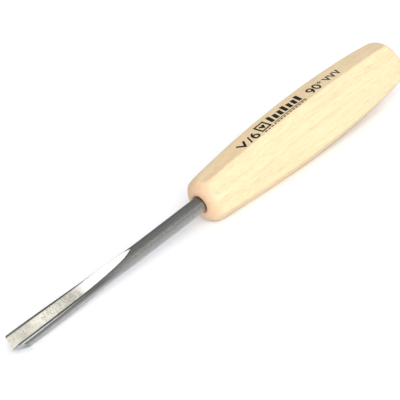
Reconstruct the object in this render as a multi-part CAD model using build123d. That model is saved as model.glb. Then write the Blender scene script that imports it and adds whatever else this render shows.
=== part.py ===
from build123d import *
import math
import os

# Wood-handled V-parting cutter for lino and wood: a one-piece forged blade with
# its tang burned into an octagonal barrel handle.
#
# The tool lies at rest on a bench: Z = 0 is the bench, +X points to the cutting
# edge, and the origin is under the middle of the tool. It touches the bench on
# the heel of the keel and on the belly of the handle's lowest facet.
#
# Everything is first built straight in the tool frame: the axis of shank and
# handle is the X axis, the vertex of the cutting edge is at x = 0 and the butt
# of the handle is at x = -OVERALL. A station "s" is a distance back from the
# vertex, so x = -s.

# ---------------------------------------------------------------- dimensions, mm
EXPOSED = 109.0          # cutting edge to the nose of the handle
HANDLE_LEN = 131.5       # nose to butt
OVERALL = EXPOSED + HANDLE_LEN

# V channel, 90 degrees between the inner faces, each inner leg 6 mm long
CHANNEL_APEX_Z = -1.45   # bottom of the straight part of the channel
CHANNEL_RUN = (          # (station, height of the channel bottom)
    (-6.0, -1.45), (10.0, -1.45), (22.0, -1.43), (31.0, -1.36), (38.5, -1.17), (45.0, -0.80),
    (52.0, -0.18), (58.5, 0.72), (63.5, 1.86), (66.5, 2.95), (68.6, 4.05), (71.0, 6.2),
)
EDGE_HALF_W = 4.24       # half width between the wing tips at the cutting edge
EDGE_RAKE = 1.2          # how far the wing tips lie behind the vertex
KEEL_HEEL = 7.3          # length of the ground bevel along the keel
BEVEL_CORNER = (2.3, 5.6, 2.6)   # where both bevels leave the outer edge of a wing

# outside of the forging: station, half width over the lands, height of the
# lands, height of the keel, and how far the section has turned round (0 = V)
BODY = (
    (-1.0, 5.78, 2.80, -4.76, 0.00),
    (10.0, 5.60, 2.70, -4.76, 0.00),
    (20.0, 5.36, 2.56, -4.76, 0.00),
    (30.0, 5.08, 2.42, -4.72, 0.03),
    (38.0, 4.84, 2.36, -4.60, 0.10),
    (45.0, 4.52, 2.40, -4.42, 0.26),
    (52.0, 4.20, 2.60, -4.15, 0.50),
    (59.0, 3.90, 2.95, -3.85, 0.78),
    (66.0, 3.66, 3.40, -3.66, 0.97),
    (72.0, 3.62, 3.62, -3.62, 1.00),
)
LAND_ROUND = 0.40        # rounding of the lands' outer edges
SIDE_BULGE = 0.22        # convexity of the forged outer faces
KEEL_HALF = 0.95         # half width of the keel radius
KEEL_RISE = 0.80

SHANK_R_FRONT = 3.62     # where the channel has run out
SHANK_R_REAR = 3.75      # at the nose of the handle
SHANK_IN = 14.0          # length of shank seated inside the handle
TANG_SQ_FRONT = 5.0      # tapered square tang
TANG_SQ_REAR = 3.0
TANG_LEN = 64.0
TANG_POINT = 5.0

# barrel handle: regular octagon, (fraction of length, half distance across flats)
BARREL = (
    (-0.03, 9.90), (0.06, 10.95), (0.14, 11.95), (0.22, 12.88), (0.31, 13.66), (0.40, 14.20),
    (0.50, 14.55), (0.60, 14.62), (0.70, 14.35), (0.78, 13.96), (0.87, 13.25),
    (0.94, 12.42), (1.03, 11.20),
)
NOSE_FLAT_R = 5.0        # flat ring round the bore, then a turned rounding
NOSE_AXIAL = 6.6
NOSE_R = 11.45
BUTT_FLAT_R = 7.5        # flat at the butt, then a turned rounding
BUTT_AXIAL = 6.2
BUTT_R = 13.1

BORE_R = 4.22            # stepped bore in the nose
BORE_CHAMFER = 0.30
FERRULE_R_IN = 3.84      # plain steel sleeve pressed into the bore, out of sight
FERRULE_RECESS = 0.5
TANG_HOLE_END_GAP = 1.5

FLATS = 8


# ---------------------------------------------------------------- helpers
def half_flat(s):
    """Half distance across the flats at a station, by linear look-up (rest pose only)."""
    f = (s - EXPOSED) / HANDLE_LEN
    for (a, ha), (b, hb) in zip(BARREL, BARREL[1:]):
        if a <= f <= b:
            return ha + (hb - ha) * (f - a) / (b - a)
    return BARREL[0][1] if f < BARREL[0][0] else BARREL[-1][1]


def lerp(p, q, t):
    return (p[0] + (q[0] - p[0]) * t, p[1] + (q[1] - p[1]) * t)


def section(s, w, zt, zk, t):
    """Outer section of the forging at a station: a blunt V turning into a circle."""
    r = SHANK_R_FRONT
    v = {
        "a": (w - LAND_ROUND, zt),
        "ab": (w - LAND_ROUND * 0.2929, zt - LAND_ROUND * 0.2929),
        "b": (w, zt - LAND_ROUND),
        "c": (KEEL_HALF, zk + KEEL_RISE),
    }
    dy, dz = v["b"][0] - v["c"][0], v["b"][1] - v["c"][1]
    d = math.hypot(dy, dz)
    v["bc"] = ((v["b"][0] + v["c"][0]) / 2 + SIDE_BULGE * dz / d,
               (v["b"][1] + v["c"][1]) / 2 - SIDE_BULGE * dy / d)
    c = {k: (r * math.cos(math.radians(a)), r * math.sin(math.radians(a)))
         for k, a in (("a", 62), ("ab", 50), ("b", 38), ("bc", -15), ("c", -68))}
    p = {k: lerp(v[k], c[k], t) for k in c}
    top, low = lerp((0, zt), (0, r), t)[1], lerp((0, zk), (0, -r), t)[1]
    m = {k: (-q[0], q[1]) for k, q in p.items()}

    def P(q):
        return (-s, q[0], q[1])

    edges = [
        Line(P(m["a"]), P(p["a"])) if t < 0.02 else ThreePointArc(P(m["a"]), P((0, top)), P(p["a"])),
        ThreePointArc(P(p["a"]), P(p["ab"]), P(p["b"])),
        ThreePointArc(P(p["b"]), P(p["bc"]), P(p["c"])),
        ThreePointArc(P(p["c"]), P((0, low)), P(m["c"])),
        ThreePointArc(P(m["c"]), P(m["bc"]), P(m["b"])),
        ThreePointArc(P(m["b"]), P(m["ab"]), P(m["a"])),
    ]
    return Face(Wire(edges))


def turned(points):
    """Solid of revolution about the X axis from (x, r) outline edges closed on the axis."""
    return revolve(Face(Wire(points)), axis=Axis.X)


def square(s, side):
    h = side / 2
    q = [(-s, -h, -h), (-s, h, -h), (-s, h, h), (-s, -h, h)]
    return Face(Wire([Line(q[i], q[(i + 1) % 4]) for i in range(4)]))


# ---------------------------------------------------------------- blade
def make_blade():
    body = Solid.make_loft([section(*row).outer_wire() for row in BODY[:5]], False)
    body += Solid.make_loft([section(*row).outer_wire() for row in BODY[4:]], False)

    # channel: everything above a 90 degree V whose bottom follows CHANNEL_RUN;
    # each wall is the run-out curve extruded along its own 45 degree slope
    pts = [(-s, 0, z) for s, z in CHANNEL_RUN]
    walls = []
    for side in (1, -1):
        curve = Spline(pts)
        a, b = curve @ 0, curve @ 1
        far_a, far_b = (a.X, 0, 40), (b.X, 0, 40)
        face = Face(Wire([curve, Line(b, far_b), Line(far_b, far_a), Line(far_a, a)]))
        d = Vector(0, side, 1).normalized()
        up = extrude(face, amount=40, dir=d)
        down = extrude(face, amount=40, dir=-d)
        walls.append(up + down)
    channel = walls[0] & walls[1]
    body -= channel

    # outer bevels: on each wing a long one down to the keel and a short, steeper
    # one behind the edge, both running out at the vertex
    zv = CHANNEL_APEX_Z
    for side in (1, -1):
        v0 = Vector(0, 0, zv)
        n = Vector(-EDGE_RAKE, side * EDGE_HALF_W, zv + EDGE_HALF_W)
        k = Vector(-KEEL_HEEL, 0, BODY[0][3])
        q = Vector(-BEVEL_CORNER[0], side * BEVEL_CORNER[1], BEVEL_CORNER[2])
        for end in (n, k):
            normal = (end - v0).cross(q - v0)
            if normal.X < 0:
                normal = -normal
            plane = Plane(origin=v0, z_dir=normal.normalized())
            body -= plane * Pos(0, 0, 15) * Box(60, 60, 30)

    # round shank, thicker towards the handle, with its shoulder inside the bore
    s0, s1, s2 = BODY[-1][0], EXPOSED, EXPOSED + SHANK_IN
    shank = turned([
        Line((-s0, 0), (-s0, SHANK_R_FRONT)),
        Line((-s0, SHANK_R_FRONT), (-s1, SHANK_R_REAR)),
        Line((-s1, SHANK_R_REAR), (-s2, SHANK_R_REAR)),
        Line((-s2, SHANK_R_REAR), (-s2, 0)),
        Line((-s2, 0), (-s0, 0)),
    ])
    # tapered square tang with a drawn-down point
    tang = Solid.make_loft([square(s2, TANG_SQ_FRONT).outer_wire(),
                            square(s2 + TANG_LEN, TANG_SQ_REAR).outer_wire()], True)
    point = Solid.make_loft([square(s2 + TANG_LEN, TANG_SQ_REAR).outer_wire(),
                             square(s2 + TANG_LEN + TANG_POINT, TANG_SQ_REAR * 0.35).outer_wire()], True)
    return body + shank + tang + point


# ---------------------------------------------------------------- handle
def make_handle():
    x_of = lambda f: -(EXPOSED + f * HANDLE_LEN)
    up = [(x_of(f), 0, h) for f, h in BARREL]
    lo = [(x_of(f), 0, -h) for f, h in BARREL]
    top, low = Spline(up), Spline(lo)
    face = Face(Wire([top, Line(up[-1], lo[-1]), low, Line(lo[0], up[0])]))
    slab = extrude(face, amount=30, dir=(0, 1, 0)) + extrude(face, amount=30, dir=(0, -1, 0))
    wood = slab
    for i in range(1, FLATS // 2):
        wood = wood & slab.rotate(Axis.X, i * 360 / FLATS)

    # turned nose and butt; between them the outline stands clear of the corners
    n0, b0 = EXPOSED, OVERALL
    nose = Spline([(-n0, NOSE_FLAT_R), (-(n0 + NOSE_AXIAL * 0.29), NOSE_FLAT_R + (NOSE_R - NOSE_FLAT_R) * 0.70),
                   (-(n0 + NOSE_AXIAL), NOSE_R)],
                  tangents=[(-0.12, 1), (-1, 0.10)])
    butt = Spline([(-(b0 - BUTT_AXIAL), BUTT_R), (-(b0 - BUTT_AXIAL * 0.29), BUTT_FLAT_R + (BUTT_R - BUTT_FLAT_R) * 0.70),
                   (-b0, BUTT_FLAT_R)],
                  tangents=[(-1, -0.12), (-0.12, -1)])
    outline = [
        Line((-n0, 0), (-n0, NOSE_FLAT_R)),
        nose,
        Line((-(n0 + NOSE_AXIAL), NOSE_R), (-(n0 + 24), 20)),
        Line((-(n0 + 24), 20), (-(b0 - 26), 20)),
        Line((-(b0 - 26), 20), (-(b0 - BUTT_AXIAL), BUTT_R)),
        butt,
        Line((-b0, BUTT_FLAT_R), (-b0, 0)),
        Line((-b0, 0), (-n0, 0)),
    ]
    wood = wood & turned(outline)

    # stepped bore: the mouth for shank and ferrule, then the burned-in tang hole
    s2 = EXPOSED + SHANK_IN
    bore = turned([
        Line((-n0 + 1, 0), (-n0 + 1, BORE_R + BORE_CHAMFER)),
        Line((-n0 + 1, BORE_R + BORE_CHAMFER), (-n0, BORE_R + BORE_CHAMFER)),
        Line((-n0, BORE_R + BORE_CHAMFER), (-(n0 + BORE_CHAMFER), BORE_R)),
        Line((-(n0 + BORE_CHAMFER), BORE_R), (-s2, BORE_R)),
        Line((-s2, BORE_R), (-s2, 0)),
        Line((-s2, 0), (-n0 + 1, 0)),
    ])
    hole = Solid.make_loft([square(s2, TANG_SQ_FRONT).outer_wire(),
                            square(s2 + TANG_LEN, TANG_SQ_REAR).outer_wire()], True)
    end = extrude(square(s2 + TANG_LEN, TANG_SQ_REAR), amount=TANG_POINT + TANG_HOLE_END_GAP, dir=(-1, 0, 0))
    return wood - bore - hole - end


# ---------------------------------------------------------------- inner ferrule
def make_inner_ferrule():
    s1, s2 = EXPOSED + FERRULE_RECESS, EXPOSED + SHANK_IN
    c = 0.15
    ro, ri = BORE_R, FERRULE_R_IN
    return turned([
        Line((-s1, ri), (-s1, ro - c)), Line((-s1, ro - c), (-(s1 + c), ro)),
        Line((-(s1 + c), ro), (-(s2 - c), ro)), Line((-(s2 - c), ro), (-s2, ro - c)),
        Line((-s2, ro - c), (-s2, ri)), Line((-s2, ri), (-s1, ri)),
    ])


# ---------------------------------------------------------------- rest pose
# the bench line touches the keel's heel and the belly of the lowest facet
keel_z = BODY[0][3]
tilt = 0.0
for i in range(0, 401):
    s = EXPOSED + HANDLE_LEN * (0.2 + 0.7 * i / 400)
    tilt = max(tilt, math.degrees(math.atan2(half_flat(s) + keel_z, s - KEEL_HEEL)))

nodes = {"blade": make_blade(), "inner_ferrule": make_inner_ferrule(), "handle": make_handle()}
placed = {k: v.rotate(Axis.Y, tilt) for k, v in nodes.items()}
boxes = [v.bounding_box(optimal=True) for v in placed.values()]
x_mid = (min(b.min.X for b in boxes) + max(b.max.X for b in boxes)) / 2
z_low = min(b.min.Z for b in boxes)

os.makedirs("parts", exist_ok=True)
for name, shape in placed.items():
    shape = shape.translate((-x_mid, 0, -z_low))
    solids = shape.solids()
    print(name, "solids", len(solids), "volume", round(sum(s.volume for s in solids), 1), "valid", shape.is_valid)
    export_step(solids[0] if len(solids) == 1 else Compound(children=list(solids)), "parts/%s.step" % name)

# where things ended up, for the record
def where(s, r=0.0, z=0.0):
    p = Vector(-s, r, z).rotate(Axis.Y, tilt)
    return tuple(round(v, 4) for v in (p.X - x_mid, p.Y, p.Z - z_low))

print("tilt", round(tilt, 4), "shift", round(-x_mid, 4), round(-z_low, 4))
print("axis forward", tuple(round(v, 6) for v in Vector(1, 0, 0).rotate(Axis.Y, tilt)))
for label, s in (("vertex", 0.0), ("shank middle", 90.0), ("nose", EXPOSED), ("butt", OVERALL)):
    print(label, where(s))
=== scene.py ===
import math
import random
import bpy
import bmesh
import numpy as np
from mathutils import Matrix, Vector


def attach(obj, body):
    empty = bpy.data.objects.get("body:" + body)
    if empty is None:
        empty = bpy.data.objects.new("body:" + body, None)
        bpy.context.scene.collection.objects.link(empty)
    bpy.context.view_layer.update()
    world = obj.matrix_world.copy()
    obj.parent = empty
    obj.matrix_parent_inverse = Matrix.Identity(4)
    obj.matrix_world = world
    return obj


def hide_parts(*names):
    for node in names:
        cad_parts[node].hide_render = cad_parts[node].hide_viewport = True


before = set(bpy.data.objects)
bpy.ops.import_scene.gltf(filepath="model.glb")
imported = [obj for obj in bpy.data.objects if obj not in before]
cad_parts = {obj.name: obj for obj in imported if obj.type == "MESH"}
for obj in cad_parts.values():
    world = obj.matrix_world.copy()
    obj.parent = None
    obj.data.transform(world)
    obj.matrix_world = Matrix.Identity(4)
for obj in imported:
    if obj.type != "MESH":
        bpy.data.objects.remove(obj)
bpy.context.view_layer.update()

MM = 0.001

# ------------------------------------------------------------------ tool frame
# x = -s along the tool (s = distance back from the vertex of the edge), z up
# across the channel. The CAD tilts this about Y and lifts it onto the bench.
EXPOSED = 109.0
HANDLE_LEN = 131.5
OVERALL = EXPOSED + HANDLE_LEN
TILT = math.radians(3.5745)
SHIFT = Vector((120.2939, 0.0, 4.3136))


def to_world(p):
    """Tool frame in mm to the row frame in metres."""
    x, y, z = p
    c, s = math.cos(TILT), math.sin(TILT)
    return Vector(((x * c + z * s + SHIFT.x) * MM, y * MM, (-x * s + z * c + SHIFT.z) * MM))


def smooth_table(rows):
    """Monotone cubic through (station, value...) rows; returns f(station) -> list of arrays."""
    a = np.array(rows, float)
    x, y = a[:, 0], a[:, 1:]
    h = np.diff(x)[:, None]
    d = np.diff(y, axis=0) / h
    m = np.zeros_like(y)
    m[0], m[-1] = d[0], d[-1]
    for i in range(1, len(x) - 1):
        same = d[i - 1] * d[i] > 0
        w1, w2 = 2 * h[i] + h[i - 1], h[i] + 2 * h[i - 1]
        with np.errstate(divide="ignore", invalid="ignore"):
            hm = (w1 + w2) / (w1 / d[i - 1] + w2 / d[i])
        m[i] = np.where(same, hm, 0.0)

    def f(s):
        s = np.atleast_1d(np.asarray(s, float))
        q = np.clip(s, x[0], x[-1])
        i = np.clip(np.searchsorted(x, q, side="right") - 1, 0, len(x) - 2)
        hh = h[i, 0]
        t = (q - x[i]) / hh
        t2, t3 = t * t, t * t * t
        out = ((2 * t3 - 3 * t2 + 1)[:, None] * y[i] + ((t3 - 2 * t2 + t) * hh)[:, None] * m[i]
               + (-2 * t3 + 3 * t2)[:, None] * y[i + 1] + ((t3 - t2) * hh)[:, None] * m[i + 1])
        return [out[:, k] for k in range(out.shape[1])]
    return f


# ------------------------------------------------------------------ blade
BODY = (
    (-1.0, 5.78, 2.80, -4.76, 0.00),
    (10.0, 5.60, 2.70, -4.76, 0.00),
    (20.0, 5.36, 2.56, -4.76, 0.00),
    (30.0, 5.08, 2.42, -4.72, 0.03),
    (38.0, 4.84, 2.36, -4.60, 0.10),
    (45.0, 4.52, 2.40, -4.42, 0.26),
    (52.0, 4.20, 2.60, -4.15, 0.50),
    (59.0, 3.90, 2.95, -3.85, 0.78),
    (66.0, 3.66, 3.40, -3.66, 0.97),
    (72.0, 3.62, 3.62, -3.62, 1.00),
)
CHANNEL_RUN = (
    (-6.0, -1.45), (10.0, -1.45), (22.0, -1.43), (31.0, -1.36), (38.5, -1.17), (45.0, -0.80),
    (52.0, -0.18), (58.5, 0.72), (63.5, 1.86), (66.5, 2.95), (68.6, 4.05), (71.0, 6.2),
)
ZV = -1.45
EDGE_W, EDGE_RAKE, HEEL = 4.24, 1.2, 7.3
BEVEL_CORNER = (2.3, 5.6, 2.6)
LAND_ROUND, SIDE_BULGE, KEEL_HALF, KEEL_RISE = 0.40, 0.22, 0.95, 0.80
SHANK_F, SHANK_R, SHANK_IN = 3.62, 3.75, 14.0
TANG = ((0.0, 5.0), (64.0, 3.0), (69.0, 1.05))

body_at = smooth_table(BODY)
run_at = smooth_table(CHANNEL_RUN)


def shank_radius(s):
    f = np.clip((s - 72.0) / (EXPOSED - 72.0), 0, 1)
    return SHANK_F + (SHANK_R - SHANK_F) * f


def arc(p, q, r, f):
    """Point at fraction f of the circular arc p-q-r (arrays of 2-D points)."""
    ax, ay = p; bx, by = q; cx, cy = r
    d = 2 * (ax * (by - cy) + bx * (cy - ay) + cx * (ay - by))
    flat = np.abs(d) < 1e-9
    d = np.where(flat, 1.0, d)
    a2, b2, c2 = ax * ax + ay * ay, bx * bx + by * by, cx * cx + cy * cy
    ux = (a2 * (by - cy) + b2 * (cy - ay) + c2 * (ay - by)) / d
    uy = (a2 * (cx - bx) + b2 * (ax - cx) + c2 * (bx - ax)) / d
    R = np.hypot(ax - ux, ay - uy)
    t0 = np.arctan2(ay - uy, ax - ux)
    t2 = np.arctan2(cy - uy, cx - ux)
    t1 = np.arctan2(by - uy, bx - ux)
    w = lambda t: (t + math.pi) % (2 * math.pi) - math.pi
    sweep = w(t1 - t0) + w(t2 - t1)
    t = t0 + sweep * f
    x, y = ux + R * np.cos(t), uy + R * np.sin(t)
    lx, ly = ax + (cx - ax) * f, ay + (cy - ay) * f
    return np.where(flat, lx, x), np.where(flat, ly, y)


def outline_points(s):
    w, zt, zk, t = body_at(s)
    r = shank_radius(s)
    v = {"a": (w - LAND_ROUND, zt), "ab": (w - LAND_ROUND * 0.2929, zt - LAND_ROUND * 0.2929),
         "b": (w, zt - LAND_ROUND), "c": (KEEL_HALF + 0 * w, zk + KEEL_RISE)}
    dy, dz = v["b"][0] - v["c"][0], v["b"][1] - v["c"][1]
    d = np.hypot(dy, dz)
    v["bc"] = ((v["b"][0] + v["c"][0]) / 2 + SIDE_BULGE * dz / d, (v["b"][1] + v["c"][1]) / 2 - SIDE_BULGE * dy / d)
    p = {}
    for k, ang in (("a", 62), ("ab", 50), ("b", 38), ("bc", -15), ("c", -68)):
        c = (r * math.cos(math.radians(ang)), r * math.sin(math.radians(ang)))
        p[k] = (v[k][0] + (c[0] - v[k][0]) * t, v[k][1] + (c[1] - v[k][1]) * t)
    top = zt + (r - zt) * t
    low = zk + (-r - zk) * t
    return p, top, low


def top_z(s, y):
    """Height of the upper surface of the forging before the channel is cut."""
    p, top, low = outline_points(s)
    ay, az = p["a"]
    sag = np.maximum(top - az, 1e-6)
    R = (ay * ay + sag * sag) / (2 * sag)
    return top - R + np.sqrt(np.maximum(R * R - y * y, 0))


def upper_outline(s, p):
    """Upper outline of the section: p 0..1 from the middle to the outer land corner, 1..2 round it."""
    q = outline_points(s)[0]
    y1 = q["a"][0] * np.clip(p, 0, 1)
    z1 = top_z(s, y1)
    y2, z2 = arc(q["a"], q["ab"], q["b"], np.clip(p - 1, 0, 1))
    return np.where(p <= 1, y1, y2), np.where(p <= 1, z1, z2)


def channel_crossing(s):
    """Where the channel's wall meets that outline, as the outline's parameter."""
    za = run_at(s)[0]
    lo, hi = np.zeros_like(s), np.full_like(s, 1.9)
    for _ in range(34):
        mid = (lo + hi) / 2
        y, z = upper_outline(s, mid)
        out = y - (z - za) > 0
        lo, hi = np.where(out, lo, mid), np.where(out, mid, hi)
    return (lo + hi) / 2


# half ring from the channel bottom round to the keel: (kind, fraction)
N_WALL, N_LAND, N_SHOULDER, N_SIDE, N_KEEL = 12, 4, 5, 14, 4
HALF = ([("wall", k / N_WALL) for k in range(N_WALL)] + [("lip", 0.0), ("lip", 1.0)]
        + [("land", k / N_LAND) for k in range(1, N_LAND)]
        + [("shoulder", k / N_SHOULDER) for k in range(N_SHOULDER)]
        + [("side", k / N_SIDE) for k in range(N_SIDE)]
        + [("keel", k / N_KEEL) for k in range(N_KEEL + 1)])
LIP = 0.07


def half_ring(s):
    """y, z of every point of the half ring; s is an array with one station a point."""
    kinds = np.array([k for k, _ in HALF])
    f = np.array([q for _, q in HALF])
    p, top, low = outline_points(s)
    za = run_at(s)[0]
    pc = channel_crossing(s)
    yc = upper_outline(s, pc)[0]
    ye = np.sqrt(yc * yc + 0.30 ** 2)                     # the run-out never narrows to nothing
    pc = np.where(pc < 1, np.maximum(pc, ye / p["a"][0]), pc)
    pc = np.minimum(pc, 1.9)
    lip = np.minimum(LIP, 0.3 * ye)
    p_lip = pc + np.where(pc < 1, lip / p["a"][0], 0.10)
    p_a = np.maximum(1.0, p_lip + 0.08)                   # outer end of the land
    y, z = np.zeros(len(HALF)), np.zeros(len(HALF))
    wall = kinds == "wall"
    yw = (ye - lip) * f
    y[wall], z[wall] = yw[wall], np.minimum(top_z(s, yw), za + yw)[wall]
    first = (kinds == "lip") & (f == 0)
    yl = ye - lip
    y[first], z[first] = yl[first], np.minimum(upper_outline(s, np.minimum(pc, 1.0))[1] + 9, za + yl)[first]
    near_top = np.minimum(top_z(s, np.minimum(yl, p["a"][0])), za + yl)
    inside = first & (yl < p["a"][0])
    z[inside] = near_top[inside]
    for name, start, end in (("lip", p_lip, p_lip), ("land", p_lip, p_a), ("shoulder", p_a, np.full_like(s, 2.0))):
        sel = (kinds == name) & ~first
        t = start + (end - start) * f
        oy, oz = upper_outline(s, t)
        y[sel], z[sel] = oy[sel], np.minimum(oz, za + oy)[sel] if name != "shoulder" else oz[sel]
    sy, sz = arc(p["b"], p["bc"], p["c"], f)
    sel = kinds == "side"
    y[sel], z[sel] = sy[sel], sz[sel]
    ky, kz = arc(p["c"], (np.zeros_like(s), low), (-p["c"][0], p["c"][1]), f * 0.5)
    sel = kinds == "keel"
    y[sel], z[sel] = ky[sel], kz[sel]
    y[0] = y[-1] = 0.0
    return y, z


def bevel_planes():
    """Both ground bevels of a wing as s = a*y + b*(z - ZV): behind the edge, then down to the keel."""
    qs, qy, qz = BEVEL_CORNER[0], BEVEL_CORNER[1], BEVEL_CORNER[2] - ZV
    planes = []
    for (es, ey, ez) in ((EDGE_RAKE, EDGE_W, EDGE_W), (HEEL, 0.0, BODY[0][3] - ZV)):
        det = ey * qz - qy * ez
        planes.append(((es * qz - qs * ez) / det, (ey * qs - qy * es) / det))
    return planes


def front_stations():
    """Stations of the half ring's points where they meet the ground bevels."""
    (a1, b1), (a2, b2) = bevel_planes()
    s = np.zeros(len(HALF))
    for _ in range(14):
        y, z = half_ring(s)
        s = np.maximum(a1 * y + b1 * (z - ZV), a2 * y + b2 * (z - ZV))
    y, z = half_ring(s)
    corner = int(np.argmin((y - BEVEL_CORNER[1]) ** 2 + (z - BEVEL_CORNER[2]) ** 2))
    return s, corner


SEG_MATERIAL = {"wall": 1, "lip": 4, "land": 4, "shoulder": 5}


def blade_mesh():
    verts, faces, mats = [], [], []
    n = len(HALF)
    stations = list(np.concatenate([
        np.arange(0, 1, 0.06), [1.0]]))
    rings = []
    s0, corner = front_stations()
    join = 14.0
    for t in stations:
        rings.append(s0 + (join - s0) * t)
    for s in np.concatenate([np.arange(14.8, 40, 0.8), np.arange(40, 60, 0.5), np.arange(60, 71, 0.22),
                             np.arange(71, EXPOSED, 1.6), [EXPOSED + 1, EXPOSED + SHANK_IN]]):
        rings.append(np.full(n, s))
    grid = []
    full = 2 * n - 2          # both halves share the channel bottom and the keel
    for s in rings:
        y, z = half_ring(s)
        ring = []
        for i in range(n):
            ring.append(len(verts)); verts.append((-s[i], y[i], z[i]))
        for i in range(n - 2, 0, -1):
            ring.append(len(verts)); verts.append((-s[i], -y[i], z[i]))
        grid.append(ring)
    kinds = [k for k, _ in HALF]
    seg_kind = kinds[:-1] + kinds[:-1][::-1]
    for a, b in zip(grid, grid[1:]):
        for i in range(full):
            j = (i + 1) % full
            faces.append((a[i], a[j], b[j], b[i]))
            mats.append(SEG_MATERIAL.get(seg_kind[i], 0))
    # ground bevels: two flat faces on each wing, meeting on a line from the vertex
    first = grid[0]
    right = first[:n]
    left = [first[0]] + first[n - 1:][::-1]
    faces.append(tuple(right[:corner + 1])[::-1]); mats.append(6)
    faces.append(tuple([right[0]] + right[corner:])[::-1]); mats.append(2)
    faces.append(tuple(left[:corner + 1])); mats.append(6)
    faces.append(tuple([left[0]] + left[corner:])); mats.append(2)
    # shoulder and tang: the ring squares off and tapers
    last = grid[-1]
    s_end = EXPOSED + SHANK_IN
    base = [Vector(verts[i]) for i in last]
    prev = last
    for ds, side in TANG:
        ring = []
        for v in base:
            ang = math.atan2(v.z, v.y)
            k = side / 2 / max(abs(math.cos(ang)), abs(math.sin(ang)))
            ring.append(len(verts))
            verts.append((-(s_end + ds), k * math.cos(ang), k * math.sin(ang)))
        for i in range(full):
            j = (i + 1) % full
            faces.append((prev[i], prev[j], ring[j], ring[i])); mats.append(3)
        prev = ring
    faces.append(tuple(prev)); mats.append(3)
    return verts, faces, mats


def make_object(name, verts, faces, mats=None, materials=(), smooth_angle=32):
    me = bpy.data.meshes.new(name)
    me.from_pydata([to_world(v) for v in verts], [], faces)
    for m in materials:
        me.materials.append(m)
    if mats is not None:
        me.polygons.foreach_set("material_index", mats)
    bm = bmesh.new()
    bm.from_mesh(me)
    bmesh.ops.recalc_face_normals(bm, faces=bm.faces[:])
    bm.to_mesh(me)
    bm.free()
    me.polygons.foreach_set("use_smooth", [True] * len(me.polygons))
    me.set_sharp_from_angle(angle=math.radians(smooth_angle))
    me.update()
    ob = bpy.data.objects.new(name, me)
    bpy.context.scene.collection.objects.link(ob)
    return ob


# ------------------------------------------------------------------ handle
BARREL = (
    (-0.03, 9.90), (0.06, 10.95), (0.14, 11.95), (0.22, 12.88), (0.31, 13.66), (0.40, 14.20),
    (0.50, 14.55), (0.60, 14.62), (0.70, 14.35), (0.78, 13.96), (0.87, 13.25),
    (0.94, 12.42), (1.03, 11.20),
)
NOSE_FLAT_R, NOSE_AXIAL, NOSE_R = 5.0, 6.6, 11.45
BUTT_FLAT_R, BUTT_AXIAL, BUTT_R = 7.5, 6.2, 13.1
BORE_R, BORE_CHAMFER = 4.22, 0.30
ARRIS = 1.6

barrel_at = smooth_table([(EXPOSED + f * HANDLE_LEN, h) for f, h in BARREL])


def octagon(theta, h, rc):
    """Radius of an octagon with rounded corners at angle theta."""
    loc = (theta + math.pi / 8) % (math.pi / 4) - math.pi / 8      # from the nearest facet's middle
    flat = h / np.cos(loc)
    d = (h - rc) / math.cos(math.pi / 8)
    delta = math.pi / 8 - np.abs(loc)
    inner = rc * rc - (d * np.sin(delta)) ** 2
    rounded = d * np.cos(delta) + np.sqrt(np.maximum(inner, 0))
    lateral = np.abs(h * np.tan(loc))
    return np.where(lateral > (h - rc) * math.tan(math.pi / 8), rounded, flat)


def smooth_min(a, b, k):
    d = np.clip(0.5 + 0.5 * (b - a) / k, 0, 1)
    return b * (1 - d) + a * d - k * d * (1 - d)


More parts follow.
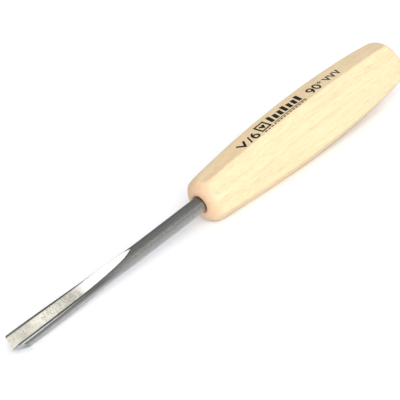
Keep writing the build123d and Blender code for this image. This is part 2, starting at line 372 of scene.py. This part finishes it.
def handle_mesh():
    # angles are denser over the arrises
    thetas = []
    for f in range(8):
        c = f * math.pi / 4
        for u in (-0.5, -0.47, -0.44, -0.40, -0.34, -0.25, -0.16, -0.08, 0, 0.08, 0.16, 0.25, 0.34, 0.40, 0.44, 0.47):
            thetas.append(c + u * math.pi / 4)
    th = np.array(thetas)
    n = len(th)
    rings = []

    def circle(s, r):
        rings.append((s, np.full(n, float(r))))

    s2 = EXPOSED + SHANK_IN
    # tang hole, square and tapered, from its blind end
    def square(s, side):
        k = side / 2 / np.maximum(np.abs(np.cos(th)), np.abs(np.sin(th)))
        rings.append((s, k))
    square(s2 + 70.5, 3.0)
    square(s2 + 64.0, 3.0)
    square(s2, 5.0)
    circle(s2, BORE_R)
    circle(EXPOSED + 6, BORE_R)
    circle(EXPOSED + 1.4, BORE_R)
    for a in (0, 25, 50, 70, 90):
        circle(EXPOSED + 0.02 + 0.24 * (1 - math.sin(math.radians(a))), BORE_R + 0.24 * (1 - math.cos(math.radians(a))))
    # nose rounding: quarter of a soft ellipse
    for k in range(1, 25):
        a = k / 24 * math.pi / 2
        s = EXPOSED + NOSE_AXIAL * (1 - math.cos(a))
        r = NOSE_FLAT_R + (NOSE_R - NOSE_FLAT_R) * math.sin(a) ** 0.94
        h = barrel_at(s)[0][0]
        rings.append((s, smooth_min(octagon(th, h, ARRIS), np.full(n, r), 0.25)))
    lim = lambda s: NOSE_R + (s - EXPOSED - NOSE_AXIAL) * 0.22
    s = EXPOSED + NOSE_AXIAL + 0.5
    end = OVERALL - BUTT_AXIAL
    while s < end - 0.2:
        h = barrel_at(s)[0][0]
        lim2 = BUTT_R + (end - s) * 0.16
        r = smooth_min(octagon(th, h, ARRIS), np.full(n, lim(s)), 0.25)
        r = smooth_min(r, np.full(n, lim2), 0.25)
        rings.append((s, r))
        s += 0.6 if (s < EXPOSED + 16 or s > end - 16) else 1.5
    for k in range(0, 25):
        a = (1 - k / 24) * math.pi / 2
        s = OVERALL - BUTT_AXIAL * (1 - math.cos(a)) - 0.0
        s = OVERALL - BUTT_AXIAL + BUTT_AXIAL * math.cos(a)
        r = BUTT_FLAT_R + (BUTT_R - BUTT_FLAT_R) * math.sin(a) ** 0.94
        h = barrel_at(s)[0][0]
        rings.append((s, smooth_min(octagon(th, h, ARRIS), np.full(n, r), 0.25)))
    for f in (0.75, 0.4, 0.12):
        circle(OVERALL, BUTT_FLAT_R * f)
    verts, faces = [], []
    for s, r in rings:
        verts += [(-s, r[i] * math.cos(th[i]), r[i] * math.sin(th[i])) for i in range(n)]
    for k in range(len(rings) - 1):
        for i in range(n):
            j = (i + 1) % n
            faces.append((k * n + i, k * n + j, (k + 1) * n + j, (k + 1) * n + i))
    faces.append(tuple(range(n)))
    m = (len(rings) - 1) * n
    faces.append(tuple(m + i for i in range(n)))
    return verts, faces


# ------------------------------------------------------------------ materials
class Nodes:
    """Small helper to write node trees."""

    def __init__(self, name):
        self.mat = bpy.data.materials.new(name)
        self.mat.use_nodes = True
        self.t = self.mat.node_tree
        self.t.nodes.clear()
        self.out = self.t.nodes.new("ShaderNodeOutputMaterial")
        self.bsdf = self.t.nodes.new("ShaderNodeBsdfPrincipled")
        self.t.links.new(self.bsdf.outputs[0], self.out.inputs[0])

    def put(self, sock, v):
        if isinstance(v, bpy.types.NodeSocket):
            self.t.links.new(v, sock)
        elif v is not None:
            sock.default_value = v

    def coords(self, scale=(1, 1, 1), loc=(0, 0, 0)):
        """Object coordinates in millimetres along the tool axis."""
        tc = self.t.nodes.new("ShaderNodeTexCoord")
        m = self.t.nodes.new("ShaderNodeMapping")
        m.vector_type = "POINT"
        m.inputs["Rotation"].default_value = (0, -TILT, 0)
        m.inputs["Scale"].default_value = (1000, 1000, 1000)
        self.t.links.new(tc.outputs["Object"], m.inputs["Vector"])
        m2 = self.t.nodes.new("ShaderNodeMapping")
        m2.vector_type = "POINT"
        m2.inputs["Scale"].default_value = scale
        m2.inputs["Location"].default_value = loc
        self.t.links.new(m.outputs[0], m2.inputs["Vector"])
        return m2.outputs[0]

    def tool(self):
        """Station from the vertex, y and z of the tool frame, in millimetres."""
        sx = SHIFT.x * math.cos(TILT) - SHIFT.z * math.sin(TILT)
        sz = SHIFT.x * math.sin(TILT) + SHIFT.z * math.cos(TILT)
        n = self.t.nodes.new("ShaderNodeSeparateXYZ")
        self.t.links.new(self.coords(), n.inputs[0])
        return (self.math("SUBTRACT", sx, n.outputs[0]), n.outputs[1], self.math("SUBTRACT", n.outputs[2], sz))

    def step(self, value, a, b):
        """0 at a, 1 at b, smooth between."""
        n = self.t.nodes.new("ShaderNodeMapRange")
        n.interpolation_type = "SMOOTHSTEP"
        n.clamp = True
        self.put(n.inputs[0], value)
        lo, hi = (a, b) if a < b else (b, a)
        n.inputs[1].default_value, n.inputs[2].default_value = lo, hi
        n.inputs[3].default_value, n.inputs[4].default_value = (0.0, 1.0) if a < b else (1.0, 0.0)
        return n.outputs[0]

    def noise(self, vec, scale, detail=3, rough=0.5, distortion=0.0):
        n = self.t.nodes.new("ShaderNodeTexNoise")
        self.put(n.inputs["Vector"], vec)
        n.inputs["Scale"].default_value = scale
        n.inputs["Detail"].default_value = detail
        n.inputs["Roughness"].default_value = rough
        n.inputs["Distortion"].default_value = distortion
        return n.outputs[0]

    def voronoi(self, vec, scale, feature="F1", rnd=1.0):
        n = self.t.nodes.new("ShaderNodeTexVoronoi")
        n.feature = feature
        self.put(n.inputs["Vector"], vec)
        n.inputs["Scale"].default_value = scale
        n.inputs["Randomness"].default_value = rnd
        return n.outputs["Distance"], n.outputs["Color"] if feature != "DISTANCE_TO_EDGE" else None

    def math(self, op, a, b=None, c=None, clamp=False):
        n = self.t.nodes.new("ShaderNodeMath")
        n.operation = op
        n.use_clamp = clamp
        self.put(n.inputs[0], a)
        self.put(n.inputs[1], b)
        self.put(n.inputs[2], c)
        return n.outputs[0]

    def ramp(self, fac, stops, interp="LINEAR"):
        n = self.t.nodes.new("ShaderNodeValToRGB")
        cr = n.color_ramp
        cr.interpolation = interp
        while len(cr.elements) < len(stops):
            cr.elements.new(0.5)
        for e, (p, c) in zip(cr.elements, stops):
            e.position = p
            e.color = c if len(c) == 4 else (*c, 1)
        self.put(n.inputs[0], fac)
        return n.outputs[0]

    def mix(self, fac, a, b, kind="RGBA", blend="MIX"):
        n = self.t.nodes.new("ShaderNodeMix")
        n.data_type = kind
        if kind == "RGBA":
            n.blend_type = blend
            i = {"RGBA": (6, 7), "FLOAT": (2, 3)}[kind]
            o = 2
        else:
            i, o = (2, 3), 0
        self.put(n.inputs[0], fac)
        self.put(n.inputs[i[0]], a)
        self.put(n.inputs[i[1]], b)
        return n.outputs[o]

    def bump(self, height, strength, distance, normal=None):
        n = self.t.nodes.new("ShaderNodeBump")
        n.inputs["Strength"].default_value = strength
        n.inputs["Distance"].default_value = distance
        self.put(n.inputs["Height"], height)
        if normal is not None:
            self.put(n.inputs["Normal"], normal)
        return n.outputs[0]

    def set(self, **kw):
        for k, v in kw.items():
            self.put(self.bsdf.inputs[k.replace("_", " ")], v)
        return self.mat


def rgb(r, g, b):
    """sRGB 0-255 to linear."""
    f = lambda c: ((c / 255) / 12.92 if c / 255 <= 0.04045 else ((c / 255 + 0.055) / 1.055) ** 2.4)
    return (f(r), f(g), f(b), 1.0)


def steel_satin():
    """Outside of the forging: dull grey, with painted shade over the upper part of each side below the wing and a
    painted reflection lightening it towards the keel.
    """
    m = Nodes("steel_satin")
    along = m.coords((0.06, 1, 1))
    blotch = m.noise(m.coords((0.35, 1, 1)), 0.55, 4, 0.6)
    fine = m.noise(along, 6.0, 3, 0.6)
    grain = m.noise(m.coords((0.8, 1, 1)), 1.7, 3, 0.72)
    col = m.ramp(blotch, [(0.30, (0.265, 0.265, 0.255)), (0.72, (0.345, 0.345, 0.332))])
    col = m.mix(0.35, col, m.ramp(fine, [(0.35, (0.20, 0.20, 0.193)), (0.7, (0.39, 0.39, 0.377))]))
    col = m.mix(0.45, col, m.ramp(grain, [(0.36, (0.17, 0.17, 0.163)), (0.64, (0.43, 0.43, 0.415))]))
    s, y, z = m.tool()
    # painted shade: the upper part of each side is darkened towards near black, fading out by s 66
    under = m.math("MULTIPLY", m.step(z, -2.6, 1.6), m.step(s, 66.0, 44.0))
    col = m.mix(m.math("MULTIPLY", under, 0.80), col, (0.080, 0.079, 0.074, 1))
    # painted reflection of the white bench: the sides turn lighter grey towards the keel
    col = m.mix(m.math("MULTIPLY", m.step(z, 0.8, -3.4), 0.75), col, (0.52, 0.52, 0.51, 1))
    rough = m.math("MULTIPLY_ADD", grain, 0.22, 0.30)
    h = m.math("ADD", m.math("MULTIPLY", fine, 0.6), m.math("MULTIPLY", grain, 0.6))
    nrm = m.bump(h, 0.35, 0.00004)
    return m.set(Base_Color=col, Metallic=1.0, Roughness=rough, Normal=nrm, Specular_IOR_Level=0.5)


def steel_land():
    """Tops of the two wings: dark, faintly brown steel as painted shade, with a painted highlight near the cutting
    edge.
    """
    m = Nodes("steel_land")
    grain = m.noise(m.coords((0.25, 1.5, 1.5)), 3.0, 4, 0.6)
    col = m.ramp(grain, [(0.32, (0.135, 0.130, 0.112)), (0.70, (0.245, 0.238, 0.212))])
    s, y, z = m.tool()
    # painted shade: the land is darkened further between s 14 and 60
    dark = m.math("MULTIPLY", m.step(s, 14.0, 30.0), m.step(s, 60.0, 50.0))
    col = m.mix(m.math("MULTIPLY", dark, 0.55), col, (0.06, 0.058, 0.05, 1))
    # painted highlight: the land turns lighter grey near the cutting edge
    col = m.mix(m.step(s, 15.0, 4.0), col, (0.36, 0.35, 0.32, 1))
    col = m.mix(m.step(s, 60.0, 70.0), col, (0.26, 0.26, 0.25, 1))
    return m.set(Base_Color=col, Metallic=1.0, Roughness=m.math("MULTIPLY_ADD", grain, 0.2, 0.32),
                 Normal=m.bump(grain, 0.3, 0.00003))


def steel_shoulder():
    """Rounded outer edge of each wing, with a painted highlight near the cutting edge that fades to dull grey towards
    the shank.
    """
    m = Nodes("steel_shoulder")
    grain = m.noise(m.coords((0.3, 2.0, 2.0)), 2.6, 4, 0.6)
    s, y, z = m.tool()
    # painted highlight: near-white steel on the shoulder near the cutting edge, fading out by s 44
    bright = m.ramp(grain, [(0.32, (0.78, 0.77, 0.75)), (0.55, (1.0, 1.0, 0.98))])
    dull = m.ramp(grain, [(0.30, (0.15, 0.149, 0.139)), (0.70, (0.25, 0.248, 0.234))])
    highlight_fade = m.step(s, 44.0, 4.0)
    col = m.mix(highlight_fade, dull, bright)
    return m.set(Base_Color=col, Metallic=1.0, Roughness=m.math("MULTIPLY_ADD", grain, 0.18, 0.22),
                 Normal=m.bump(grain, 0.2, 0.00002))


def steel_ground():
    """Channel walls: bright, ground, with small overlapping swirls."""
    m = Nodes("steel_ground")
    swirl = m.noise(m.coords((1.0, 0.7, 0.7)), 0.75, 5, 0.66, 0.8)
    patch = m.noise(m.coords((1.0, 0.8, 0.8), (4.0, 1.0, 2.0)), 0.26, 3, 0.55, 0.4)
    fine = m.noise(m.coords((1.2, 0.9, 0.9)), 1.9, 3, 0.6, 0.3)
    d1, c1 = m.voronoi(m.coords((1.0, 0.9, 0.9), (0.2, 0.0, 0.4)), 0.50)
    rings = m.math("SINE", m.math("MULTIPLY", d1, 13.0))
    s, y, z = m.tool()
    zone = m.math("MULTIPLY", m.step(s, 15.0, 23.0), m.step(s, 42.0, 36.0))
    v = m.math("ADD", m.math("MULTIPLY", swirl, 0.40), m.math("MULTIPLY", fine, 0.28))
    v = m.math("MULTIPLY_ADD", patch, 0.32, v)
    v = m.math("MULTIPLY_ADD", m.math("MULTIPLY", rings, m.math("MULTIPLY_ADD", zone, 0.85, 0.15)), 0.060, v)
    along = m.ramp(m.math("DIVIDE", s, 60.0), [
        (0.00, (0.92, 0.92, 0.92)), (0.05, (0.84, 0.84, 0.84)), (0.11, (0.68, 0.68, 0.68)), (0.16, (0.72, 0.72, 0.72)),
        (0.22, (0.90, 0.90, 0.90)), (0.36, (0.93, 0.93, 0.93)), (0.46, (0.72, 0.72, 0.72)), (0.58, (0.62, 0.62, 0.62)),
        (0.66, (0.80, 0.80, 0.80)), (0.72, (1.0, 1.0, 1.0))], "B_SPLINE")
    tone = m.ramp(v, [(0.40, (0.66, 0.635, 0.54)), (0.49, (0.88, 0.852, 0.735)), (0.56, (1.0, 0.98, 0.865)), (0.62, (1.0, 1.0, 0.95))])
    col = m.mix(1.0, tone, along, blend="MULTIPLY")
    # painted highlight: the channel's run-out is brightened to near white from s 37 to 44 onwards
    col = m.mix(m.step(s, 37.0, 44.0), col, (0.99, 0.99, 0.98, 1))
    col = m.mix(m.step(s, 62.0, 67.0), col, (0.28, 0.28, 0.27, 1))
    rough = m.math("MULTIPLY_ADD", v, -0.20, 0.44)
    nrm = m.bump(v, 0.5, 0.00006)
    return m.set(Base_Color=col, Metallic=1.0, Roughness=rough, Normal=nrm)


def steel_honed():
    """Long bevels: fine stone lines, darkened towards the heel as painted shade."""
    m = Nodes("steel_honed")
    lines = m.noise(m.coords((0.25, 5.0, 5.0)), 2.4, 3, 0.55)
    s, y, z = m.tool()
    col = m.ramp(lines, [(0.3, (0.42, 0.42, 0.435)), (0.7, (0.60, 0.60, 0.615))])
    # painted shade: the bevel darkens from s 1.2 to 6.2 towards the heel
    col = m.mix(m.step(s, 1.2, 6.2), col, m.ramp(lines, [(0.3, (0.25, 0.25, 0.265)), (0.7, (0.36, 0.36, 0.375))]))
    rough = m.math("MULTIPLY_ADD", lines, 0.15, 0.26)
    return m.set(Base_Color=col, Metallic=1.0, Roughness=rough, Normal=m.bump(lines, 0.25, 0.00003))


def steel_browned():
    """Sleeve in the nose: oil-browned steel."""
    m = Nodes("steel_browned")
    n1 = m.noise(m.coords((0.6, 1, 1)), 2.2, 4, 0.6)
    col = m.ramp(n1, [(0.30, rgb(176, 130, 102)), (0.70, rgb(214, 172, 142))])
    return m.set(Base_Color=col, Metallic=0.15, Roughness=m.math("MULTIPLY_ADD", n1, 0.25, 0.45),
                 Normal=m.bump(n1, 0.3, 0.00004))


def steel_edge():
    """Short steeper bevels right behind the cutting edge."""
    m = Nodes("steel_edge")
    lines = m.noise(m.coords((1.0, 4.0, 4.0)), 3.0, 3, 0.55)
    col = m.ramp(lines, [(0.3, (0.25, 0.242, 0.225)), (0.7, (0.42, 0.41, 0.39))])
    return m.set(Base_Color=col, Metallic=1.0, Roughness=m.math("MULTIPLY_ADD", lines, 0.15, 0.28),
                 Normal=m.bump(lines, 0.25, 0.00003))


def steel_scale():
    """Tang, as forged and hardened."""
    m = Nodes("steel_scale")
    n1 = m.noise(m.coords(), 1.4, 5, 0.65)
    col = m.ramp(n1, [(0.3, (0.05, 0.05, 0.055)), (0.7, (0.17, 0.15, 0.14))])
    return m.set(Base_Color=col, Metallic=0.85, Roughness=m.math("MULTIPLY_ADD", n1, 0.3, 0.45),
                 Normal=m.bump(n1, 0.6, 0.0001))


def hardwood():
    m = Nodes("pale_hardwood")
    # slow colour drift, growth-ring streaks along the grain, fine fibre and pores
    drift = m.noise(m.coords((0.12, 0.5, 0.5)), 0.16, 3, 0.5)
    rings = m.noise(m.coords((0.018, 1.0, 1.0), (3.1, 0.4, 7.7)), 0.42, 4, 0.55, 0.25)
    fibre = m.noise(m.coords((0.045, 1.0, 1.0)), 2.6, 5, 0.68)
    base = m.ramp(rings, [(0.30, rgb(201, 173, 133)), (0.50, rgb(209, 189, 153)), (0.70, rgb(214, 197, 163))])
    base = m.mix(0.35, base, m.ramp(drift, [(0.35, rgb(209, 177, 148)), (0.65, rgb(208, 190, 146))]))
    base = m.mix(0.34, base, m.ramp(fibre, [(0.34, rgb(170, 132, 96)), (0.52, rgb(214, 195, 159))]))
    streak = m.noise(m.coords((0.010, 1.0, 1.0), (1.7, 5.0, 2.2)), 1.5, 3, 0.6, 0.15)
    base = m.mix(m.math("MULTIPLY", m.step(streak, 0.56, 0.66), 0.15), base, rgb(186, 152, 116))
    # short dark flecks lying along the grain
    fd, fc = m.voronoi(m.coords((0.22, 1.0, 1.0), (0.3, 0.7, 0.1)), 0.60)
    gate = m.noise(m.coords((0.10, 0.4, 0.4), (9.1, 2.0, 5.0)), 0.8, 2, 0.5)
    fleck = m.math("MULTIPLY", m.ramp(fd, [(0.0, (1, 1, 1)), (0.085, (0.5, 0.5, 0.5)), (0.13, (0, 0, 0))]),
                   m.ramp(gate, [(0.46, (0, 0, 0)), (0.56, (1, 1, 1))]))
    base = m.mix(m.math("MULTIPLY", fleck, 0.65), base, rgb(128, 90, 52))
    # end grain where the nose and the butt are turned, and painted shade as a darker rim round the bore opening
    s, y, z = m.tool()
    nose = m.step(s, 114.5, 109.4)
    butt = m.step(s, 236.0, 240.0)
    base = m.mix(m.math("MULTIPLY", m.math("ADD", nose, butt, None, True), 0.55), base, rgb(197, 156, 127))
    # painted shade: darker brown wood round the bore opening, where the gap round the shank lies in shadow
    mouth_shade = m.math("MULTIPLY", m.step(m.math("SQRT", m.math("ADD", m.math("MULTIPLY", y, y), m.math("MULTIPLY", z, z))), 5.0, 4.4),
                   m.step(s, 113.0, 110.0))
    base = m.mix(m.math("MULTIPLY", mouth_shade, 0.65), base, rgb(146, 100, 74))
    rough = m.math("MULTIPLY_ADD", fibre, 0.16, 0.42)
    h = m.math("ADD", m.math("MULTIPLY", fibre, 1.0), m.math("MULTIPLY", fleck, -0.5))
    return m.set(Base_Color=base, Roughness=rough, Normal=m.bump(h, 0.18, 0.00008),
                 Specular_IOR_Level=0.35, Coat_Weight=0.06, Coat_Roughness=0.35)


def ink():
    m = Nodes("print_ink")
    n1 = m.noise(m.coords((0.5, 1, 1)), 4.0, 3, 0.6)
    col = m.ramp(n1, [(0.35, rgb(13, 12, 11)), (0.75, rgb(36, 31, 26))])
    return m.set(Base_Color=col, Roughness=m.math("MULTIPLY_ADD", n1, 0.2, 0.6), Normal=m.bump(n1, 0.2, 0.00002),
                 Specular_IOR_Level=0.2)


def floor_material():
    m = Nodes("bench_white")
    n1 = m.noise(m.coords(), 0.02, 3, 0.5)
    col = m.ramp(n1, [(0.3, (0.90, 0.908, 0.932)), (0.7, (0.915, 0.922, 0.945))])
    return m.set(Base_Color=col, Roughness=0.9, Specular_IOR_Level=0.1)


# ------------------------------------------------------------------ print on the top facet
def ribbon(points, width, closed=False):
    """Corners of a flat ribbon along a polyline in the facet's plane: (left, right) lists."""
    p = [Vector(q) for q in points]
    n = len(p)
    left, right = [], []
    for i in range(n):
        a = p[i - 1] if (i > 0 or closed) else None
        b = p[(i + 1) % n] if (i < n - 1 or closed) else None
        d1 = (p[i] - a).normalized() if a is not None else None
        d2 = (b - p[i]).normalized() if b is not None else None
        d1 = d1 or d2
        d2 = d2 or d1
        n1, n2 = Vector((-d1.y, d1.x)), Vector((-d2.y, d2.x))
        m = (n1 + n2).normalized()
        k = width / 2 / max(m.dot(n1), 0.5)
        left.append(p[i] + m * k)
        right.append(p[i] - m * k)
    return left, right


def curve(cx, cy, rx, ry, a0, a1, n):
    return [(cx + rx * math.cos(math.radians(a0 + (a1 - a0) * k / n)),
             cy + ry * math.sin(math.radians(a0 + (a1 - a0) * k / n))) for k in range(n + 1)]


def digit_six(x, h, w):
    bowl = curve(x + w / 2, h * 0.31, w / 2, h * 0.31, 172, -172, 18)
    stem = curve(x + w * 0.92, h * 0.36, w * 0.92, h * 0.64, 100, 176, 9)
    return [(stem + curve(x + w / 2, h * 0.31, w / 2, h * 0.31, 186, 526, 20)[1:], False)]


def digit_nine(x, h, w):
    return [([(2 * x + w - a, h - b) for a, b in pts], c) for pts, c in digit_six(x, h, w)]


def digit_zero(x, h, w):
    return [(curve(x + w / 2, h / 2, w / 2, h / 2, 0, 360, 22)[:-1], True)]


def print_strokes():
    """Every stroke of the print: (points, pen width, closed). u runs to the butt, v across the facet."""
    out = []

    def place(items, u0, v0, pen):
        for pts, c in items:
            out.append(([(a + u0, b + v0) for a, b in pts], pen, c))
    # size: cutting profile over nominal width
    u0, v0, h = 137.3, -4.4, 4.9
    out.append(([(u0 + 0.1, v0 + h), (u0 + 2.45, v0 + 0.9), (u0 + 4.8, v0 + h)], 1.15, False))
    out.append(([(u0 + 5.9, v0 - 0.1), (u0 + 7.9, v0 + h + 0.1)], 0.80, False))
    place(digit_six(0, h, 2.7), u0 + 9.0, v0, 1.02)
    # plain ornament: framed square, slanted bars, rule, row of dashes
    f0, g0 = 151.6, -3.3
    out.append(([(f0, g0), (f0 + 5.4, g0), (f0 + 5.4, g0 + 5.7), (f0, g0 + 5.7)], 0.95, True))
    out.append(([(f0 + 1.55, g0 + 4.1), (f0 + 2.7, g0 + 2.0), (f0 + 3.85, g0 + 4.1)], 1.35, False))
    for k in range(7):
        a = f0 + 8.2 + k * 3.15
        tall = (5.4, 4.3, 4.3, 5.4, 4.3, 4.3, 5.4)[k]
        out.append(([(a, g0 + 0.7), (a + 0.9, g0 + 0.7 + tall)], 2.05, False))
    out.append(([(f0 + 7.2, g0 - 0.45), (f0 + 18.5, g0 - 0.45), (f0 + 28.9, g0 - 0.45)], 0.50, False))
    for k in range(14):
        a = f0 + 0.2 + k * 2.08
        out.append(([(a, g0 - 1.6), (a + 1.35, g0 - 1.6)], 0.66, False))
    # angle of the V
    u0, v0, h = 185.4, -3.9, 4.7
    place(digit_nine(0, h, 2.6), u0, v0, 0.98)
    place(digit_zero(0, h, 2.6), u0 + 4.0, v0, 0.98)
    out.append((curve(u0 + 8.7, v0 + h - 0.8, 0.66, 0.66, 0, 360, 14)[:-1], 0.55, True))
    for k in range(3):
        a = u0 + 11.6 + k * 3.5
        out.append(([(a, v0 + h - 0.1), (a + 1.3, v0 + 0.8), (a + 2.6, v0 + h - 0.1)], 0.92, False))
    return out


def print_mesh():
    verts, faces = [], []
    for pts, width, closed in print_strokes():
        left, right = ribbon(pts, width, closed)
        base = len(verts)
        for a, b in zip(left, right):
            for q in (a, b):
                h = float(barrel_at(q.x)[0][0])
                verts.append((-q.x, -q.y, h + 0.03))
                verts.append((-q.x, -q.y, h - 0.02))
        n = len(left)
        last = n if closed else n - 1
        for i in range(last):
            a, b = base + 4 * i, base + 4 * ((i + 1) % n)
            # 0 left top, 1 left low, 2 right top, 3 right low
            faces += [(a, b, b + 2, a + 2), (a + 1, a + 3, b + 3, b + 1),
                      (a, a + 1, b + 1, b), (a + 2, b + 2, b + 3, a + 3)]
        if not closed:
            a, b = base, base + 4 * (n - 1)
            faces += [(a, a + 2, a + 3, a + 1), (b, b + 1, b + 3, b + 2)]
    return verts, faces


# ------------------------------------------------------------------ build
v, f, mi = blade_mesh()
blade = make_object("blade_forging", v, f, mi, (steel_satin(), steel_ground(), steel_honed(), steel_scale(),
                                                steel_land(), steel_shoulder(), steel_edge()), 24)
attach(blade, "root"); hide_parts("blade")

v, f = handle_mesh()
handle = make_object("handle_wood", v, f, None, (hardwood(),), 40)
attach(handle, "root"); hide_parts("handle")

v, f = print_mesh()
mark = make_object("size_print", v, f, None, (ink(),), 30)
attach(mark, "root")

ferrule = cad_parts["inner_ferrule"]
ferrule.data.materials.clear() if not len(ferrule.material_slots) else None
fm = steel_browned()
if len(ferrule.material_slots):
    for slot in ferrule.material_slots:
        slot.material = fm
else:
    ferrule.data.materials.append(fm)

# ------------------------------------------------------------------ floor, light, camera
bpy.ops.mesh.primitive_grid_add(x_subdivisions=4, y_subdivisions=4, size=6.0, location=(0, 0, 0))
floor = bpy.context.active_object
floor.name = "floor"
floor.data.materials.append(floor_material())

LOBES = (
    # azimuth of the light seen from the tool (0 = +X, 90 = +Y), elevation, sharpness, strength
    (45.0, 4.0, 12.0, 4.642),
    (90.0, 4.0, 12.0, 0.033),
    (180.0, 4.0, 12.0, 1.847),
    (225.0, 4.0, 12.0, 0.248),
    (315.0, 4.0, 12.0, 0.307),
    (22.5, 32.0, 12.0, 1.542),
    (67.5, 32.0, 12.0, 5.688),
    (157.5, 32.0, 12.0, 1.641),
    (202.5, 32.0, 12.0, 1.158),
    (247.5, 32.0, 12.0, 0.064),
    (292.5, 32.0, 12.0, 0.542),
    (18.0, 60.0, 12.0, 0.250),
    (306.0, 60.0, 12.0, 0.919),
    (60.0, 50.0, 45.0, 1.333),
    (140.0, 50.0, 45.0, 0.657),
    (150.0, 70.0, 45.0, 0.183),
    (250.0, 55.0, 45.0, 0.107),
)
AMBIENT = (0.0, 0.0, 0.0)

world = bpy.data.worlds.new("studio")
bpy.context.scene.world = world
world.use_nodes = True
wt = world.node_tree
bg = wt.nodes["Background"]
geo = wt.nodes.new("ShaderNodeTexCoord")
total = None


def wmath(op, a, b, c=None):
    n = wt.nodes.new("ShaderNodeMath")
    n.operation = op
    for k, q in enumerate((a, b, c)):
        if isinstance(q, bpy.types.NodeSocket):
            wt.links.new(q, n.inputs[k])
        elif q is not None:
            n.inputs[k].default_value = q
    return n.outputs[0]


for k, (az_l, el_l, sharp, strength) in enumerate(LOBES):
    a_, e_ = math.radians(az_l), math.radians(el_l)
    dot = wt.nodes.new("ShaderNodeVectorMath")
    dot.operation = "DOT_PRODUCT"
    wt.links.new(geo.outputs["Generated"], dot.inputs[0])
    dot.inputs[1].default_value = (math.cos(a_) * math.cos(e_), math.sin(a_) * math.cos(e_), math.sin(e_))
    g = wmath("MULTIPLY_ADD", dot.outputs["Value"], sharp, -sharp)
    g = wmath("EXPONENT", g, None)
    g = wmath("MULTIPLY", g, strength)
    g.node.name = "lobe_%02d" % k
    total = g if total is None else wmath("ADD", total, g)
shade = wt.nodes.new("ShaderNodeCombineColor")
for k in range(3):
    wt.links.new(wmath("ADD", total, AMBIENT[k]), shade.inputs[k])
wt.links.new(shade.outputs[0], bg.inputs[0])
bg.inputs[1].default_value = 1.0

# camera: tool-frame pose turned into the row frame
FOCAL = 1300.0
az, el, roll = 0.9736351529842757, 0.5556939214948745, -0.30674889620655243
v_ = Vector((math.cos(az) * math.cos(el), math.sin(az) * math.cos(el), -math.sin(el)))
r_ = Vector((math.sin(az), -math.cos(az), 0))
u_ = r_.cross(v_)
r2 = r_ * math.cos(roll) + u_ * math.sin(roll)
u2 = -r_ * math.sin(roll) + u_ * math.cos(roll)
eye = Vector((120.0, 0, 0)) - v_ * 582.6508 + r2 * -7.433832 + u2 * -4.133427


def turn(d):
    """Direction in the fitting frame (x back along the tool) to the row frame."""
    d = Vector((-d.x, -d.y, d.z))
    c, s = math.cos(TILT), math.sin(TILT)
    return Vector((d.x * c + d.z * s, d.y, -d.x * s + d.z * c))


cam_data = bpy.data.cameras.new("camera")
cam = bpy.data.objects.new("camera", cam_data)
bpy.context.scene.collection.objects.link(cam)
R, U, V = turn(r2), turn(u2), turn(v_)
cam.matrix_world = Matrix.Translation(to_world((-eye.x, -eye.y, eye.z))) @ Matrix((
    (R.x, U.x, -V.x, 0), (R.y, U.y, -V.y, 0), (R.z, U.z, -V.z, 0), (0, 0, 0, 1)))
cam_data.sensor_fit = "HORIZONTAL"
cam_data.sensor_width = 36.0
cam_data.lens = FOCAL / 400 * 36.0
cam_data.shift_x, cam_data.shift_y = -0.5 / 400, 0.5 / 400
cam_data.clip_start, cam_data.clip_end = 0.01, 50
bpy.context.scene.camera = cam


bpy.context.scene.view_settings.view_transform = "Standard"
bpy.context.scene.view_settings.look = "None"
